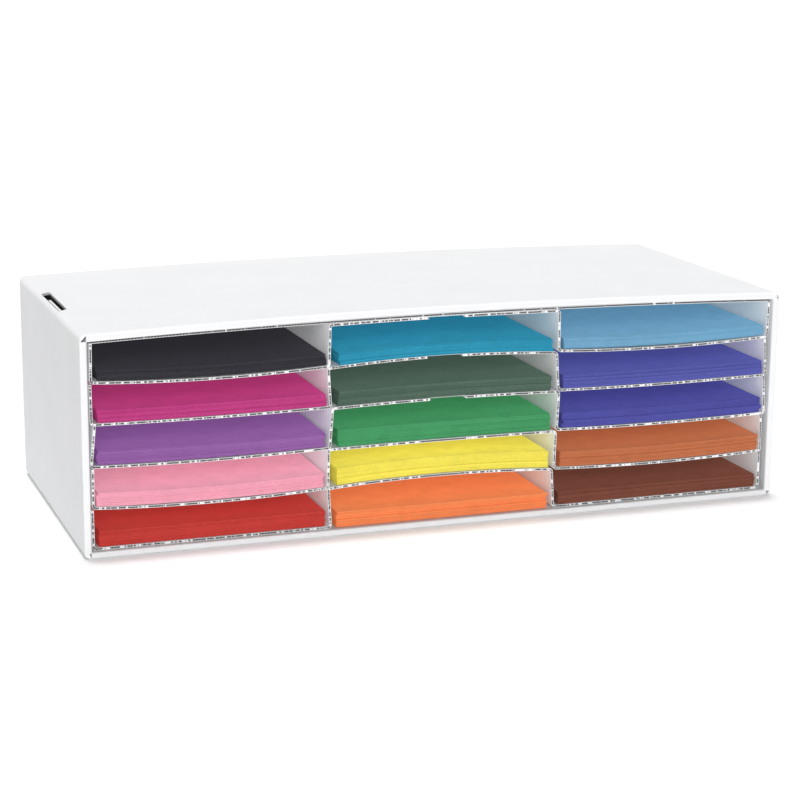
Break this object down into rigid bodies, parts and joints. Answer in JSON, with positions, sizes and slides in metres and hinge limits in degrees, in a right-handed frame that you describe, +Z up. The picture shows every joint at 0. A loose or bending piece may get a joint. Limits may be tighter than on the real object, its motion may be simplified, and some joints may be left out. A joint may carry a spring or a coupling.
{
  "type": "paper sorter",
  "caption": "Low open-fronted sorter of folded white corrugated board with flat slots in columns that hold stacks of coloured construction paper, which slide out at the front.",
  "frame": {"origin": "under the middle of the cabinet, on the surface it stands on", "axes": "+X along the width, +Y from the open front to the closed back, +Z up"},
  "size_m": [0.743, 0.33, 0.2277],
  "materials": {
    "white_board": "white-lined corrugated board, smooth matt liner, raw fluted edges",
    "black_paper": "dyed construction paper, rough and fibrous, matt",
    "magenta_paper": "dyed construction paper, rough and fibrous, matt",
    "purple_paper": "dyed construction paper, rough and fibrous, matt",
    "pink_paper": "dyed construction paper, rough and fibrous, matt",
    "red_paper": "dyed construction paper, rough and fibrous, matt",
    "turquoise_paper": "dyed construction paper, rough and fibrous, matt",
    "dark_green_paper": "dyed construction paper, rough and fibrous, matt",
    "green_paper": "dyed construction paper, rough and fibrous, matt",
    "yellow_paper": "dyed construction paper, rough and fibrous, matt",
    "orange_paper": "dyed construction paper, rough and fibrous, matt",
    "light_blue_paper": "dyed construction paper, rough and fibrous, matt",
    "violet_paper": "dyed construction paper, rough and fibrous, matt",
    "indigo_paper": "dyed construction paper, rough and fibrous, matt",
    "rust_paper": "dyed construction paper, rough and fibrous, matt",
    "brown_paper": "dyed construction paper, rough and fibrous, matt"
  },
  "bodies": {
    "cabinet": {"outer_shell": "white_board", "top_liner": "white_board", "shelf_strip_1": "white_board", "shelf_strip_2": "white_board", "shelf_strip_3": "white_board", "shelf_strip_4": "white_board", "shelf_strip_5": "white_board"},
    "paper_left_1": {"paper_stack_left_1": "black_paper"},
    "paper_left_2": {"paper_stack_left_2": "magenta_paper"},
    "paper_left_3": {"paper_stack_left_3": "purple_paper"},
    "paper_left_4": {"paper_stack_left_4": "pink_paper"},
    "paper_left_5": {"paper_stack_left_5": "red_paper"},
    "paper_middle_1": {"paper_stack_middle_1": "turquoise_paper"},
    "paper_middle_2": {"paper_stack_middle_2": "dark_green_paper"},
    "paper_middle_3": {"paper_stack_middle_3": "green_paper"},
    "paper_middle_4": {"paper_stack_middle_4": "yellow_paper"},
    "paper_middle_5": {"paper_stack_middle_5": "orange_paper"},
    "paper_right_1": {"paper_stack_right_1": "light_blue_paper"},
    "paper_right_2": {"paper_stack_right_2": "violet_paper"},
    "paper_right_3": {"paper_stack_right_3": "indigo_paper"},
    "paper_right_4": {"paper_stack_right_4": "rust_paper"},
    "paper_right_5": {"paper_stack_right_5": "brown_paper"}
  },
  "joints": [
    {"name": "paper_left_1_slide", "type": "slide", "parent": "cabinet", "child": "paper_left_1", "axis": [0, -1, 0], "range_m": [0, 0.33]},
    {"name": "paper_left_2_slide", "type": "slide", "parent": "cabinet", "child": "paper_left_2", "axis": [0, -1, 0], "range_m": [0, 0.33]},
    {"name": "paper_left_3_slide", "type": "slide", "parent": "cabinet", "child": "paper_left_3", "axis": [0, -1, 0], "range_m": [0, 0.33]},
    {"name": "paper_left_4_slide", "type": "slide", "parent": "cabinet", "child": "paper_left_4", "axis": [0, -1, 0], "range_m": [0, 0.33]},
    {"name": "paper_left_5_slide", "type": "slide", "parent": "cabinet", "child": "paper_left_5", "axis": [0, -1, 0], "range_m": [0, 0.33]},
    {"name": "paper_middle_1_slide", "type": "slide", "parent": "cabinet", "child": "paper_middle_1", "axis": [0, -1, 0], "range_m": [0, 0.33]},
    {"name": "paper_middle_2_slide", "type": "slide", "parent": "cabinet", "child": "paper_middle_2", "axis": [0, -1, 0], "range_m": [0, 0.33]},
    {"name": "paper_middle_3_slide", "type": "slide", "parent": "cabinet", "child": "paper_middle_3", "axis": [0, -1, 0], "range_m": [0, 0.33]},
    {"name": "paper_middle_4_slide", "type": "slide", "parent": "cabinet", "child": "paper_middle_4", "axis": [0, -1, 0], "range_m": [0, 0.33]},
    {"name": "paper_middle_5_slide", "type": "slide", "parent": "cabinet", "child": "paper_middle_5", "axis": [0, -1, 0], "range_m": [0, 0.33]},
    {"name": "paper_right_1_slide", "type": "slide", "parent": "cabinet", "child": "paper_right_1", "axis": [0, -1, 0], "range_m": [0, 0.33]},
    {"name": "paper_right_2_slide", "type": "slide", "parent": "cabinet", "child": "paper_right_2", "axis": [0, -1, 0], "range_m": [0, 0.33]},
    {"name": "paper_right_3_slide", "type": "slide", "parent": "cabinet", "child": "paper_right_3", "axis": [0, -1, 0], "range_m": [0, 0.33]},
    {"name": "paper_right_4_slide", "type": "slide", "parent": "cabinet", "child": "paper_right_4", "axis": [0, -1, 0], "range_m": [0, 0.33]},
    {"name": "paper_right_5_slide", "type": "slide", "parent": "cabinet", "child": "paper_right_5", "axis": [0, -1, 0], "range_m": [0, 0.33]}
  ]
}
